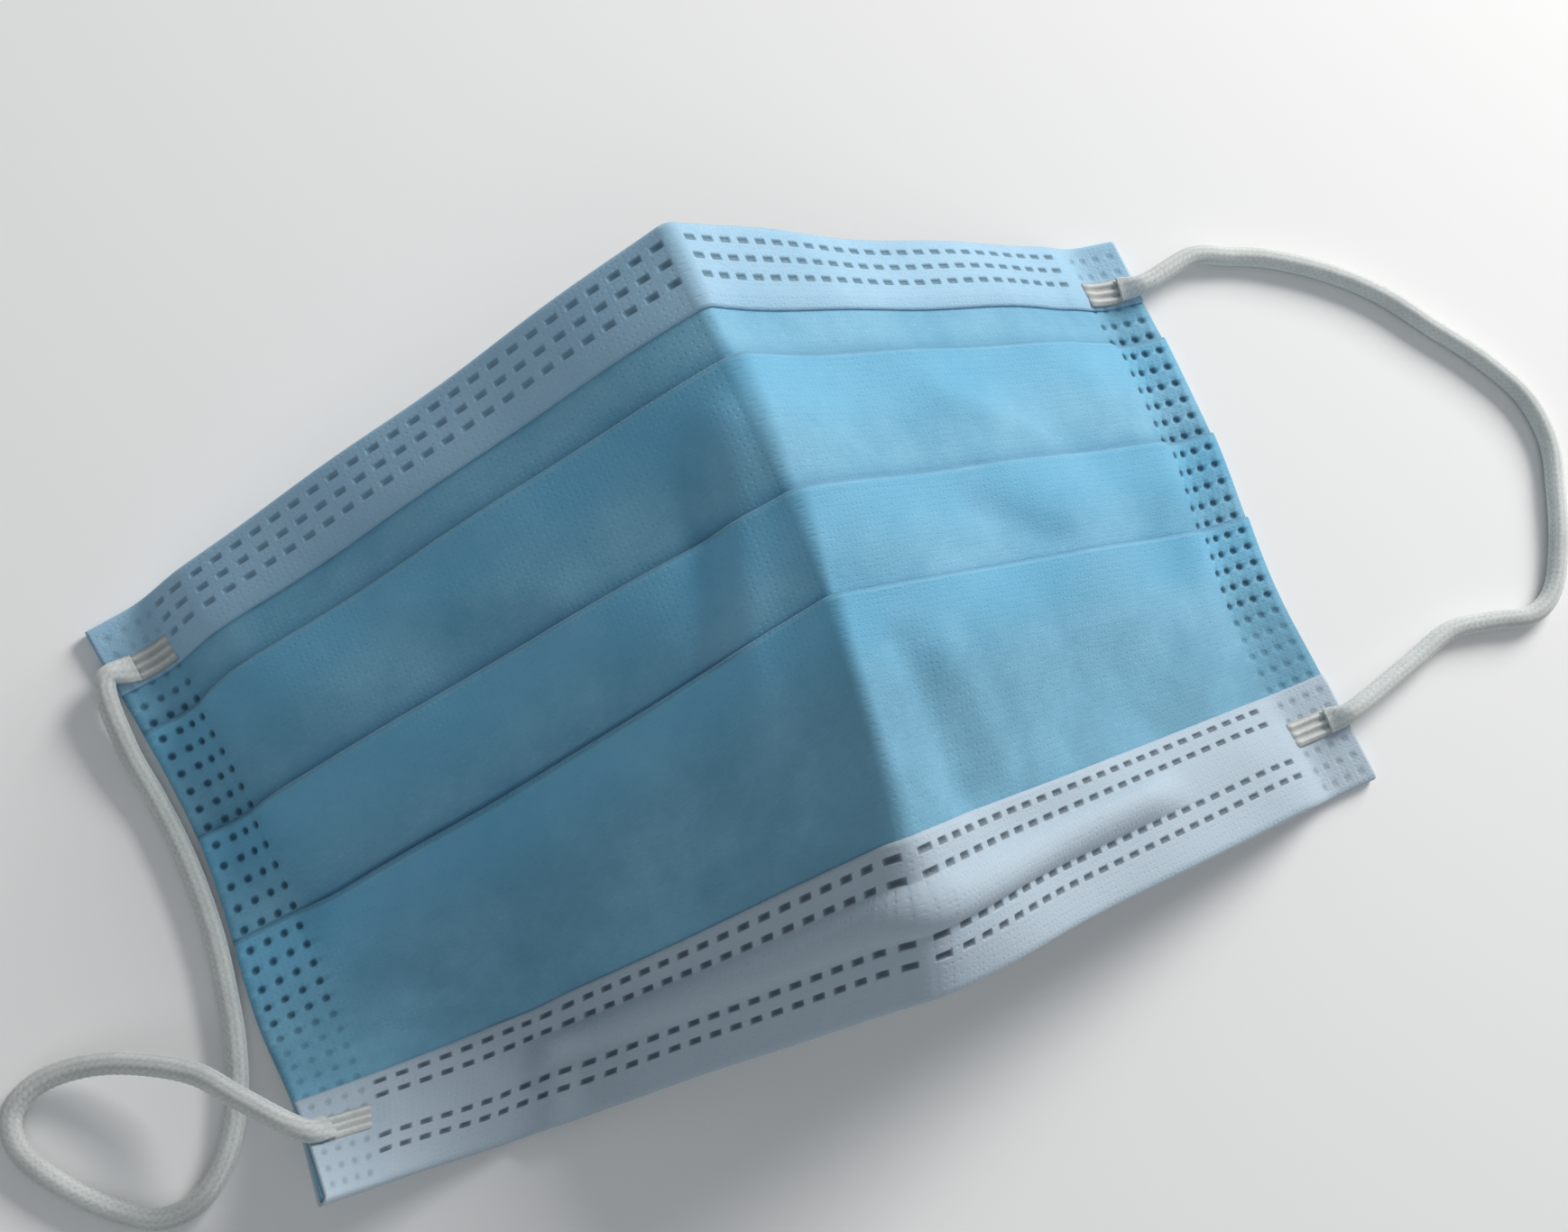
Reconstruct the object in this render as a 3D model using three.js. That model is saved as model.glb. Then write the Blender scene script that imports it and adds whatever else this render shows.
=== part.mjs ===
// A pleated surgical face mask, lying outer side up after being folded in half across its width and
// opened again: a shallow tent with one crease across its middle.
// Millimetres, +Z up. +X runs along the mask's width, from the wearer's right ear to the left one,
// +Y from the nose edge to the chin edge. The mask stands on z = 0.
//
// Every cloth piece is built on one underside surface, cloth(u, w, lift):
//   u     distance along the width, from the left side edge
//   w     distance across the pleats, from the chin edge
//   lift  height above the underside, square to it
import * as THREE from "three";

// ---- cut sizes of the laid-out mask
const WIDTH = 175;
const HEIGHT = 95;
const CREASE_U = 89;
const CHIN_HEM = 11;
const NOSE_HEM = 18;
const PLEAT_FOLDS = [18, 35, 50];
const LAST_PLEAT_END = 68;

// ---- thicknesses
const PANEL = 1.2;
const PLEAT_STEP = 1.2;
const FLAP = 1.0;
const GAP = 0.3;
const FOLD_ROUND = 0.6;
const JOG = 2.0;

// ---- nose wire and the channel that holds it
const WIRE = { from: 38, to: 134, width: 3.6, thick: 0.8 };
const CHANNEL = { middle: 84.7, top: 4.4, foot: 7.0, rise: 1.1, flat: 0.1, fade: 22 };

// ---- elastic cord and its pressed ends
const CORD_DIAMETER = 2.8;
const CORD_SIDES = 8;
const CORD_STEPS = 72;
const PAD = { inset: 2.6, length: 7.2, width: 3.8, thick: 0.8, ribs: 3, ribHeight: 0.3, clear: 0.4 };

// ---- the tent's shape: one row for each section across the pleats
// crease: where the crease stands; left and right: where the two side edges lie. curl is how far
// the left edge is bent up. A flank leaves the table at the fraction start of its run, and then
// climbs as a power of the rest.
const SECTIONS = [
  { w: 0, creaseX: 2, creaseY: 50.5, creaseZ: 39.5,
    leftX: -78, leftY: 37.5, curl: 0, leftStart: 0.05, leftPower: 1.0,
    rightX: 76.5, rightY: 40.5, rightStart: 0.07, rightPower: 1.1 },
  { w: 35, creaseX: 2.5, creaseY: 13, creaseZ: 40.5,
    leftX: -74.5, leftY: 7, curl: 0, leftStart: 0.03, leftPower: 0.8,
    rightX: 77.5, rightY: 8, rightStart: 0.05, rightPower: 1.0 },
  { w: 60, creaseX: 1, creaseY: -9, creaseZ: 39.5,
    leftX: -76, leftY: -16, curl: 0, leftStart: 0.2, leftPower: 1.2,
    rightX: 76, rightY: -14, rightStart: 0.08, rightPower: 1.05 },
  { w: 77, creaseX: -1, creaseY: -28.5, creaseZ: 36,
    leftX: -76, leftY: -28.5, curl: 6, leftStart: 0.4, leftPower: 1.05,
    rightX: 76.5, rightY: -29.5, rightStart: 0.08, rightPower: 1.3 },
  { w: 95, creaseX: -4, creaseY: -47, creaseZ: 29,
    leftX: -77.5, leftY: -40.5, curl: 19, leftStart: 0.33, leftPower: 1.45,
    rightX: 77, rightY: -46, rightStart: 0.09, rightPower: 0.82 },
];
const CURL_REACH = 0.35;
const START_SOFTNESS = 0.05;
// Within the first fraction of its run a flank is pressed flat, and it is free of that by the second.
const PRESSED = { flat: 0.055, free: 0.18 };

// ---- the middle of the mask's box in plan, where the model's origin stands
const BOX_CENTRE = { x: -0.25, y: 1.25 };

// ---- stations along the width where the cloth is creased or bent
const STATIONS = [
  0, 4, 8.5, 13, 20, 28, 36, 45, 54, 63, 72, 80, 86, 89, 92, 98, 106, 115, 124, 133, 142, 150,
  157, 163, 167, 171, 175,
];

// ---- stations across the pleats at which every layer bends with the surface
const BENDS = [5.5, 11, 26.5, 42.5, 63, 72.5, 77, 79, 81.2, 84.7, 88.2, 91];

// ---- the ear loops' routes on the table, from the chin corner round to the nose corner
const LEFT_ROUTE = [
  { x: -78.4, y: 21.5, z: 2.2 }, { x: -77.4, y: 14, z: 1.5 }, { x: -76.8, y: 7.5, z: 1.5 },
  { x: -76.7, y: 1, z: 1.5 }, { x: -77.1, y: -5.5, z: 1.5 }, { x: -78, y: -11.5, z: 1.5 },
  { x: -79.2, y: -17.5, z: 1.5 }, { x: -81.4, y: -24, z: 1.5 }, { x: -85, y: -30, z: 1.5 },
  { x: -89.5, y: -33.6, z: 1.5 }, { x: -94.5, y: -34, z: 1.5 }, { x: -99, y: -31, z: 1.5 },
  { x: -103.6, y: -25.8, z: 1.5 }, { x: -106.8, y: -20, z: 1.5 }, { x: -106.2, y: -15.4, z: 1.7 },
  { x: -101.8, y: -13.2, z: 2.6 }, { x: -95.7, y: -13.8, z: 3.9 }, { x: -90, y: -16.3, z: 5.6 },
  { x: -84.8, y: -20, z: 7.6 }, { x: -81.2, y: -24.8, z: 10.8 },
];
const RIGHT_ROUTE = [
  { x: 86.5, y: 34, z: 2.3 }, { x: 92.5, y: 32.3, z: 1.5 }, { x: 98.5, y: 29.8, z: 1.5 },
  { x: 106.3, y: 24.8, z: 1.5 }, { x: 112.8, y: 18.8, z: 1.5 }, { x: 118.3, y: 11.2, z: 1.5 },
  { x: 123.2, y: 4.3, z: 1.5 }, { x: 127, y: -3.5, z: 1.5 }, { x: 127.3, y: -11.2, z: 1.5 },
  { x: 124.5, y: -18.5, z: 1.5 }, { x: 121, y: -25.5, z: 1.5 }, { x: 116.5, y: -31.6, z: 1.5 },
  { x: 111.3, y: -33.8, z: 1.5 }, { x: 104.5, y: -32.2, z: 1.5 }, { x: 97.7, y: -31.2, z: 1.5 },
  { x: 89.5, y: -33.2, z: 1.9 },
];

const COLOURS = {
  blue: 0x7fb6d6,
  white: 0xb9d2e2,
  cord: 0xc3c9c6,
  wire: 0xd7dade,
};

const lerp = THREE.MathUtils.lerp;
const clamp = THREE.MathUtils.clamp;

// Smooth interpolation of one named column of SECTIONS, through every row.
function column(name, w) {
  let k = 0;
  while (k < SECTIONS.length - 2 && w > SECTIONS[k + 1].w) k += 1;
  const [a, b] = [SECTIONS[k], SECTIONS[k + 1]];
  const before = SECTIONS[Math.max(k - 1, 0)];
  const after = SECTIONS[Math.min(k + 2, SECTIONS.length - 1)];
  const span = b.w - a.w;
  const t = (w - a.w) / span;
  const slopeA = ((b[name] - before[name]) / (b.w - before.w)) * span;
  const slopeB = ((after[name] - a[name]) / (after.w - a.w)) * span;
  const t2 = t * t;
  const t3 = t2 * t;
  return (
    (2 * t3 - 3 * t2 + 1) * a[name] + (t3 - 2 * t2 + t) * slopeA +
    (3 * t2 - 2 * t3) * b[name] + (t3 - t2) * slopeB
  );
}

const ramp = (x) => (Math.sqrt(x * x + START_SOFTNESS ** 2) + x) / 2;

// One flank's outline at w: its ends in plan, its height at each step of its run from the side edge
// to the crease, and the length of cloth up to each step.
const FLANK_STEPS = 80;
function flank(side, w) {
  const start = column(side + "Start", w);
  const power = column(side + "Power", w);
  const curl = side === "left" ? Math.max(0, column("curl", w)) : 0;
  const climb = (t) => (ramp(t - start) / ramp(1 - start)) ** power;
  const height = (t) =>
    curl * Math.max(0, 1 - t / CURL_REACH) ** 2 +
    (THREE.MathUtils.smoothstep(t, PRESSED.flat, PRESSED.free) *
      column("creaseZ", w) * (climb(t) - climb(0))) / (1 - climb(0));
  const edge = new THREE.Vector2(column(side + "X", w), column(side + "Y", w));
  const crease = new THREE.Vector2(column("creaseX", w), column("creaseY", w));
  const stride = edge.distanceTo(crease) / FLANK_STEPS;
  const rise = [height(0)];
  const cut = [0];
  for (let k = 1; k <= FLANK_STEPS; k += 1) {
    rise.push(height(k / FLANK_STEPS));
    cut.push(cut[k - 1] + Math.hypot(stride, rise[k] - rise[k - 1]));
  }
  return { edge, crease, rise, cut };
}

const flanks = new Map();
function flankOf(side, w) {
  const key = side + w.toFixed(4);
  if (!flanks.has(key)) flanks.set(key, flank(side, w));
  return flanks.get(key);
}

// A point of the underside.
function underside(u, w) {
  const side = u <= CREASE_U ? "left" : "right";
  const { edge, crease, rise, cut } = flankOf(side, w);
  const share = side === "left" ? u / CREASE_U : (WIDTH - u) / (WIDTH - CREASE_U);
  const target = clamp(share, 0, 1) * cut[FLANK_STEPS];
  let k = 0;
  while (k < FLANK_STEPS - 1 && cut[k + 1] < target) k += 1;
  const part = (target - cut[k]) / (cut[k + 1] - cut[k]);
  const plan = edge.clone().lerp(crease, (k + part) / FLANK_STEPS);
  return new THREE.Vector3(plan.x, plan.y, lerp(rise[k], rise[k + 1], part));
}

// The underside's upward normal between two points along the width.
function normalBetween(u0, u1, w) {
  const reach = 0.5;
  const middle = (u0 + u1) / 2;
  const alongU = underside(u1, w).sub(underside(u0, w));
  const w0 = clamp(w - reach, 0, HEIGHT);
  const w1 = clamp(w + reach, 0, HEIGHT);
  const alongW = underside(middle, w1).sub(underside(middle, w0));
  return alongW.cross(alongU).normalize();
}

// A point at the given lift. At the crease the lift is mitred, so the wall keeps its thickness.
function cloth(u, w, lift) {
  const reach = 0.6;
  const u0 = clamp(u - reach, 0, WIDTH);
  const u1 = clamp(u + reach, 0, WIDTH);
  const before = normalBetween(u0, Math.max(u, u0 + 0.1), w);
  const after = normalBetween(Math.min(u, u1 - 0.1), u1, w);
  const normal = before.clone().add(after).normalize();
  return underside(u, w).addScaledVector(normal, lift / normal.dot(after));
}

// The same pairs, with one more at each of BENDS that a long stretch passes over.
function bent(pairs) {
  const result = [pairs[0]];
  for (let i = 1; i < pairs.length; i += 1) {
    const [a, b] = [pairs[i - 1], pairs[i]];
    const [start, end] = [a[0][0], b[0][0]];
    const between = BENDS.filter((w) => (w - start) * (w - end) < 0 && Math.abs(w - start) > 0.2);
    if (end < start) between.reverse();
    for (const w of between.filter((place) => Math.abs(place - end) > 0.2)) {
      const t = (w - start) / (end - start);
      result.push(a.map((point, face) => point.map((value, k) => lerp(value, b[face][k], t))));
    }
    result.push(b);
  }
  return result;
}

// A closed body swept along the width. pairsAt(u) lists the wall's two faces together, from one
// long edge to the other: [[w, lift] on the outer face, [w, lift] on the inner face].
function sweep(stations, pairsAt) {
  const positions = [];
  for (const u of stations) {
    const pairs = bent(pairsAt(u));
    for (const [outer] of pairs) positions.push(...cloth(u, ...outer).toArray());
    for (const [, inner] of pairs) positions.push(...cloth(u, ...inner).toArray());
  }
  const sample = bent(pairsAt(stations[0]));
  const n = sample.length;
  const last = stations.length - 1;
  const outer = (k, i) => 2 * n * k + i;
  const inner = (k, i) => 2 * n * k + n + i;
  const index = [];
  const quad = (a, b, c, d, turned = false) => {
    if (turned) index.push(b, c, d, b, d, a);
    else index.push(a, b, c, a, c, d);
  };
  // Every layer is split along the same diagonal of the cloth, so that gaps between layers hold.
  const backward = (i, face) => sample[i + 1][face][0] < sample[i][face][0];
  for (let k = 0; k < last; k += 1) {
    for (let i = 0; i < n - 1; i += 1) {
      const next = k + 1;
      quad(outer(k, i), outer(k, i + 1), outer(next, i + 1), outer(next, i), backward(i, 0));
      quad(inner(k, i), inner(next, i), inner(next, i + 1), inner(k, i + 1), backward(i, 1));
    }
    quad(outer(k, 0), outer(k + 1, 0), inner(k + 1, 0), inner(k, 0));
    quad(outer(k + 1, n - 1), outer(k, n - 1), inner(k, n - 1), inner(k + 1, n - 1));
  }
  for (let i = 0; i < n - 1; i += 1) {
    quad(outer(0, i + 1), outer(0, i), inner(0, i), inner(0, i + 1));
    quad(outer(last, i), outer(last, i + 1), inner(last, i + 1), inner(last, i));
  }
  return facingOut(positions, index);
}

// An indexed geometry with its faces turned outwards.
function facingOut(positions, index) {
  const point = (i) => new THREE.Vector3().fromArray(positions, 3 * i);
  let volume = 0;
  for (let k = 0; k < index.length; k += 3) {
    volume += point(index[k]).dot(point(index[k + 1]).cross(point(index[k + 2])));
  }
  if (volume < 0) index.reverse();
  const geometry = new THREE.BufferGeometry();
  geometry.setAttribute("position", new THREE.Float32BufferAttribute(positions, 3));
  geometry.setIndex(index);
  geometry.computeVertexNormals();
  return geometry;
}

// ---- levels of the layers above the underside, in the hems
const INSIDE_FLAP_TOP = FLAP;
const PANEL_LOW = FLAP + GAP;
const PANEL_HIGH = PANEL_LOW + FLAP;
const FRONT_FLAP_LOW = PANEL_HIGH + GAP;
const FRONT_FLAP_TOP = FRONT_FLAP_LOW + FLAP;
const FOLD_WALL = FLAP + GAP;
const PANEL_EDGE = FOLD_WALL + GAP;
const NOSE_HEM_START = HEIGHT - NOSE_HEM;

// The blue panel: one wall with three overlapping pleats, gripped by the two hems. Each pleat's
// fold stands a step above the cloth on its chin side, and that step dies away towards the next.
function panelPairs() {
  const pairs = [];
  const add = (w, top, bottom) => pairs.push([[w, top], [w, bottom]]);
  add(PANEL_EDGE, PANEL_HIGH, PANEL_LOW);
  add(CHIN_HEM + GAP, PANEL_HIGH, PANEL_LOW);
  add(CHIN_HEM + GAP + JOG, PANEL, 0);
  PLEAT_FOLDS.forEach((fold, k) => {
    const end = PLEAT_FOLDS[k + 1] ?? LAST_PLEAT_END;
    add(fold, PANEL, 0);
    add(fold + FOLD_ROUND, PANEL + PLEAT_STEP, 0);
    add((fold + end) / 2, PANEL + PLEAT_STEP / 2, 0);
  });
  add(LAST_PLEAT_END, PANEL, 0);
  add(NOSE_HEM_START - GAP - JOG, PANEL, 0);
  add(NOSE_HEM_START - GAP, PANEL_HIGH, PANEL_LOW);
  add(CHANNEL.middle, PANEL_HIGH, PANEL_LOW);
  add(HEIGHT - PANEL_EDGE, PANEL_HIGH, PANEL_LOW);
  return pairs;
}

// A hem: a strip folded round the panel's edge, given in distances from the fold. middle holds
// further pairs of the front flap, between its free edge and the fold.
function hemPairs(width, middle = []) {
  const bend = FOLD_WALL + FOLD_ROUND;
  return [
    [[width, FRONT_FLAP_TOP], [width, FRONT_FLAP_LOW]],
    ...middle,
    [[bend, FRONT_FLAP_TOP], [bend, FRONT_FLAP_LOW]],
    [[FOLD_ROUND, FRONT_FLAP_TOP], [FOLD_WALL, FRONT_FLAP_LOW]],
    [[0, FRONT_FLAP_TOP - FOLD_ROUND], [FOLD_WALL, FRONT_FLAP_LOW - GAP]],
    [[0, FOLD_ROUND], [FOLD_WALL, INSIDE_FLAP_TOP + GAP]],
    [[FOLD_ROUND, 0], [FOLD_WALL, INSIDE_FLAP_TOP]],
    [[bend, 0], [bend, INSIDE_FLAP_TOP]],
    [[width, 0], [width, INSIDE_FLAP_TOP]],
  ];
}

// How far the wire channel stands up at u: it fades out towards the two side edges.
function channelRise(u) {
  const inside = Math.min(u, WIDTH - u);
  return CHANNEL.flat + CHANNEL.rise * THREE.MathUtils.smoothstep(inside, CHANNEL.fade / 2, CHANNEL.fade);
}

function noseHemPairs(u) {
  const rise = channelRise(u);
  const fromFold = HEIGHT - CHANNEL.middle;
  const pair = (distance, lift) => [
    [distance, FRONT_FLAP_TOP + lift],
    [distance, FRONT_FLAP_LOW + lift],
  ];
  const channel = [
    pair(fromFold + CHANNEL.foot / 2, 0), pair(fromFold + CHANNEL.top / 2, rise),
    pair(fromFold - CHANNEL.top / 2, rise), pair(fromFold - CHANNEL.foot / 2, 0),
  ];
  const mirrored = ([distance, lift]) => [HEIGHT - distance, lift];
  return hemPairs(NOSE_HEM, channel).map((faces) => faces.map(mirrored));
}

function wirePairs() {
  const low = FRONT_FLAP_LOW;
  return [-1, 1].map((end) => {
    const w = CHANNEL.middle + (end * WIRE.width) / 2;
    return [[w, low + WIRE.thick], [w, low]];
  });
}

// A pressed end of the elastic: a flat pad with ribs along it, lying on a hem's front flap.
function padPairs(w) {
  const low = FRONT_FLAP_TOP + PAD.clear;
  const pairs = [];
  for (let k = 0; k <= 2 * PAD.ribs; k += 1) {
    const across = w + PAD.width * (k / (2 * PAD.ribs) - 0.5);
    const rib = k % 2 === 1 ? PAD.ribHeight : 0;
    pairs.push([[across, low + PAD.thick + rib], [across, low]]);
  }
  return pairs;
}

const CHIN_PAD_W = 8.5;
const NOSE_PAD_W = 84;
const PADS = [
  { name: "loop_end_chin_left", side: "left", w: CHIN_PAD_W },
  { name: "loop_end_nose_left", side: "left", w: NOSE_PAD_W },
  { name: "loop_end_chin_right", side: "right", w: CHIN_PAD_W },
  { name: "loop_end_nose_right", side: "right", w: NOSE_PAD_W },
];

function padGeometry({ side, w }) {
  const near = PAD.inset;
  const far = PAD.inset + PAD.length;
  const stations = side === "left" ? [near, 4, 8.5, far] : [WIDTH - far, 167, 171, WIDTH - near];
  return sweep(stations, () => padPairs(w));
}

// A point on the cord's way off its pad, straight on past the pad's outer end.
function offPad(side, w, distance) {
  const lift = FRONT_FLAP_TOP + PAD.clear + CORD_DIAMETER / 2;
  const at = (inset) => cloth(side === "left" ? inset : WIDTH - inset, w, lift);
  const end = at(PAD.inset);
  const outward = end.clone().sub(at(PAD.inset + 1)).normalize();
  return end.addScaledVector(outward, distance);
}

function cordGeometry(side, route) {
  const path = new THREE.CatmullRomCurve3([
    offPad(side, CHIN_PAD_W, GAP), offPad(side, CHIN_PAD_W, PAD.inset + 1),
    ...route.map(({ x, y, z }) => new THREE.Vector3(x, y, z)),
    offPad(side, NOSE_PAD_W, PAD.inset + 1), offPad(side, NOSE_PAD_W, GAP),
  ]);
  const outline = new THREE.Shape();
  outline.absarc(0, 0, CORD_DIAMETER / 2, 0, 2 * Math.PI, false);
  return new THREE.ExtrudeGeometry(outline, {
    steps: CORD_STEPS,
    curveSegments: CORD_SIDES,
    extrudePath: path,
    bevelEnabled: false,
  });
}

function material(colour, roughness, metalness = 0) {
  return new THREE.MeshStandardMaterial({ color: colour, roughness, metalness });
}

function piece(name, geometry, finish) {
  const mesh = new THREE.Mesh(geometry, finish);
  mesh.name = name;
  return mesh;
}

const inStations = (from, to) => [from, ...STATIONS.filter((u) => u > from + 1 && u < to - 1), to];

const mask = new THREE.Group();
mask.name = "surgical_face_mask";
mask.position.set(-BOX_CENTRE.x, -BOX_CENTRE.y, 0);
const white = material(COLOURS.white, 0.85);
const elastic = material(COLOURS.cord, 0.9);
mask.add(piece("pleated_panel", sweep(STATIONS, panelPairs), material(COLOURS.blue, 0.85)));
mask.add(piece("chin_hem", sweep(STATIONS, () => hemPairs(CHIN_HEM)), white));
mask.add(piece("nose_hem", sweep(STATIONS, noseHemPairs), white));
mask.add(piece("nose_wire", sweep(inStations(WIRE.from, WIRE.to), wirePairs), material(COLOURS.wire, 0.4)));
mask.add(piece("ear_loop_left", cordGeometry("left", LEFT_ROUTE), elastic));
mask.add(piece("ear_loop_right", cordGeometry("right", RIGHT_ROUTE), elastic));
for (const pad of PADS) mask.add(piece(pad.name, padGeometry(pad), elastic));

export default mask;
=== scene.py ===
# A pleated surgical face mask, lying outer side up as a shallow tent, with its two ear loops.
# Metres, in the CAD frame: +X along the mask's width, +Y from the nose edge to the chin edge, +Z up.
import math

import bmesh
import bpy
import numpy as np
from mathutils import Matrix, Vector


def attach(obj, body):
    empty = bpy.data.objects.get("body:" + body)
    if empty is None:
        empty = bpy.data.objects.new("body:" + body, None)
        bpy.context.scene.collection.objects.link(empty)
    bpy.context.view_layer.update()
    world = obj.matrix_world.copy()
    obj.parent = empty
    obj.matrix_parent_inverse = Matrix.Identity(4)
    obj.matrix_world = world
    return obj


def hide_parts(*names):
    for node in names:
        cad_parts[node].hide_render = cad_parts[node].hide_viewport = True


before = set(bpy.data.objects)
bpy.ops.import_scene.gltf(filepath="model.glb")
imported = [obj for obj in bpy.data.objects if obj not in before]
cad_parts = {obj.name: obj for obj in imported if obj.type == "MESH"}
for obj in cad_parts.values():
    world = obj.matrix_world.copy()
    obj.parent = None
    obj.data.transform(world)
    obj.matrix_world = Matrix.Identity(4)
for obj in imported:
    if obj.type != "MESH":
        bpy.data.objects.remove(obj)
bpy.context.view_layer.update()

MM = 0.001

# ------------------------------------------------------------------------------------------------
# the mask's cut sizes and the shape it lies in, as in the CAD model (millimetres)
WIDTH = 175.0
HEIGHT = 95.0
CREASE_U = 89.0
CHIN_HEM = 11.0
NOSE_HEM = 18.0
PLEAT_FOLDS = [18.0, 35.0, 50.0]
LAST_PLEAT_END = 68.0
BOX_CENTRE = (-0.25, 1.25)

SECTIONS = [
    {"w": 0, "creaseX": 2, "creaseY": 50.5, "creaseZ": 39.5,
     "leftX": -78, "leftY": 37.5, "curl": 0, "leftStart": 0.05, "leftPower": 1.0,
     "rightX": 76.5, "rightY": 40.5, "rightStart": 0.07, "rightPower": 1.1},
    {"w": 35, "creaseX": 2.5, "creaseY": 13, "creaseZ": 40.5,
     "leftX": -74.5, "leftY": 7, "curl": 0, "leftStart": 0.03, "leftPower": 0.8,
     "rightX": 77.5, "rightY": 8, "rightStart": 0.05, "rightPower": 1.0},
    {"w": 60, "creaseX": 1, "creaseY": -9, "creaseZ": 39.5,
     "leftX": -76, "leftY": -16, "curl": 0, "leftStart": 0.2, "leftPower": 1.2,
     "rightX": 76, "rightY": -14, "rightStart": 0.08, "rightPower": 1.05},
    {"w": 77, "creaseX": -1, "creaseY": -28.5, "creaseZ": 36,
     "leftX": -76, "leftY": -28.5, "curl": 6, "leftStart": 0.4, "leftPower": 1.05,
     "rightX": 76.5, "rightY": -29.5, "rightStart": 0.08, "rightPower": 1.3},
    {"w": 95, "creaseX": -4, "creaseY": -47, "creaseZ": 29,
     "leftX": -77.5, "leftY": -40.5, "curl": 19, "leftStart": 0.33, "leftPower": 1.45,
     "rightX": 77, "rightY": -46, "rightStart": 0.09, "rightPower": 0.82},
]
CURL_REACH = 0.35
START_SOFTNESS = 0.05
PRESSED = (0.055, 0.18)
FLANK_STEPS = 400

LEFT_ROUTE = [
    (-78.4, 21.5, 2.2), (-77.4, 14, 1.5), (-76.8, 7.5, 1.5), (-76.7, 1, 1.5), (-77.1, -5.5, 1.5),
    (-78, -11.5, 1.5), (-79.2, -17.5, 1.5), (-81.4, -24, 1.5), (-85, -30, 1.5), (-89.5, -33.6, 1.5),
    (-94.5, -34, 1.5), (-99, -31, 1.5), (-103.6, -25.8, 1.5), (-106.8, -20, 1.5), (-106.2, -15.4, 1.7),
    (-101.8, -13.2, 2.6), (-95.7, -13.8, 3.9), (-90, -16.3, 5.6), (-84.8, -20, 7.6), (-81.2, -24.8, 10.8),
]
RIGHT_ROUTE = [
    (86.5, 34, 2.3), (92.5, 32.3, 1.5), (98.5, 29.8, 1.5), (106.3, 24.8, 1.5), (112.8, 18.8, 1.5),
    (118.3, 11.2, 1.5), (123.2, 4.3, 1.5), (127, -3.5, 1.5), (127.3, -11.2, 1.5), (124.5, -18.5, 1.5),
    (121, -25.5, 1.5), (116.5, -31.6, 1.5), (111.3, -33.8, 1.5), (104.5, -32.2, 1.5), (97.7, -31.2, 1.5),
    (89.5, -33.2, 1.9),
]
CORD_DIAMETER = 2.9
PAD = {"inset": 2.6, "length": 7.2, "width": 4.0, "thick": 0.68, "ribs": 3}
CHIN_PAD_W = 8.5
NOSE_PAD_W = 84.0

# layers of the real, thin cloth above its underside
INNER_FLAP = (0.0, 0.35)
PANEL = (0.45, 1.2)
FRONT_FLAP = (1.35, 1.75)
PLEAT_STEP = 1.7


def smoothstep(x, a, b):
    t = np.clip((x - a) / (b - a), 0.0, 1.0)
    return t * t * (3 - 2 * t)


def column(name, w):
    """Smooth interpolation of one named column of SECTIONS, through every row."""
    k = 0
    while k < len(SECTIONS) - 2 and w > SECTIONS[k + 1]["w"]:
        k += 1
    a, b = SECTIONS[k], SECTIONS[k + 1]
    before = SECTIONS[max(k - 1, 0)]
    after = SECTIONS[min(k + 2, len(SECTIONS) - 1)]
    span = b["w"] - a["w"]
    t = (w - a["w"]) / span
    slope_a = (b[name] - before[name]) / (b["w"] - before["w"]) * span
    slope_b = (after[name] - a[name]) / (after["w"] - a["w"]) * span
    return (
        (2 * t**3 - 3 * t**2 + 1) * a[name] + (t**3 - 2 * t**2 + t) * slope_a
        + (3 * t**2 - 2 * t**3) * b[name] + (t**3 - t**2) * slope_b
    )


def ramp(x):
    return (np.sqrt(x * x + START_SOFTNESS**2) + x) / 2


FLANKS = {}


def flank(side, w):
    """One flank's outline at w: ends in plan, height at each step, cloth length up to each step."""
    key = (side, round(w, 4))
    if key in FLANKS:
        return FLANKS[key]
    start = column(side + "Start", w)
    power = column(side + "Power", w)
    curl = max(0.0, column("curl", w)) if side == "left" else 0.0
    t = np.linspace(0, 1, FLANK_STEPS + 1)

    def climb(x):
        return (ramp(x - start) / ramp(1 - start)) ** power

    rise = curl * np.maximum(0, 1 - t / CURL_REACH) ** 2
    height = column("creaseZ", w) * (climb(t) - climb(0)) / (1 - climb(0))
    rise = rise + smoothstep(t, *PRESSED) * height
    edge = np.array([column(side + "X", w), column(side + "Y", w)])
    crease = np.array([column("creaseX", w), column("creaseY", w)])
    stride = np.linalg.norm(crease - edge) / FLANK_STEPS
    cut = np.concatenate([[0], np.cumsum(np.hypot(stride, np.diff(rise)))])
    FLANKS[key] = (edge, crease, t, rise, cut)
    return FLANKS[key]


def underside(us, w):
    """Points of the underside at the distances us along the width, on the section at w."""
    us = np.clip(us, 0, WIDTH)
    points = np.zeros((len(us), 3))
    for side in ("left", "right"):
        here = us <= CREASE_U if side == "left" else us > CREASE_U
        share = us[here] / CREASE_U if side == "left" else (WIDTH - us[here]) / (WIDTH - CREASE_U)
        edge, crease, t, rise, cut = flank(side, w)
        at = np.interp(share * cut[-1], cut, t)
        points[here, :2] = edge + at[:, None] * (crease - edge)
        points[here, 2] = np.interp(at, t, rise)
    points[:, 0] -= BOX_CENTRE[0]
    points[:, 1] -= BOX_CENTRE[1]
    return points


def unit(v):
    return v / np.linalg.norm(v, axis=-1, keepdims=True)


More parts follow.
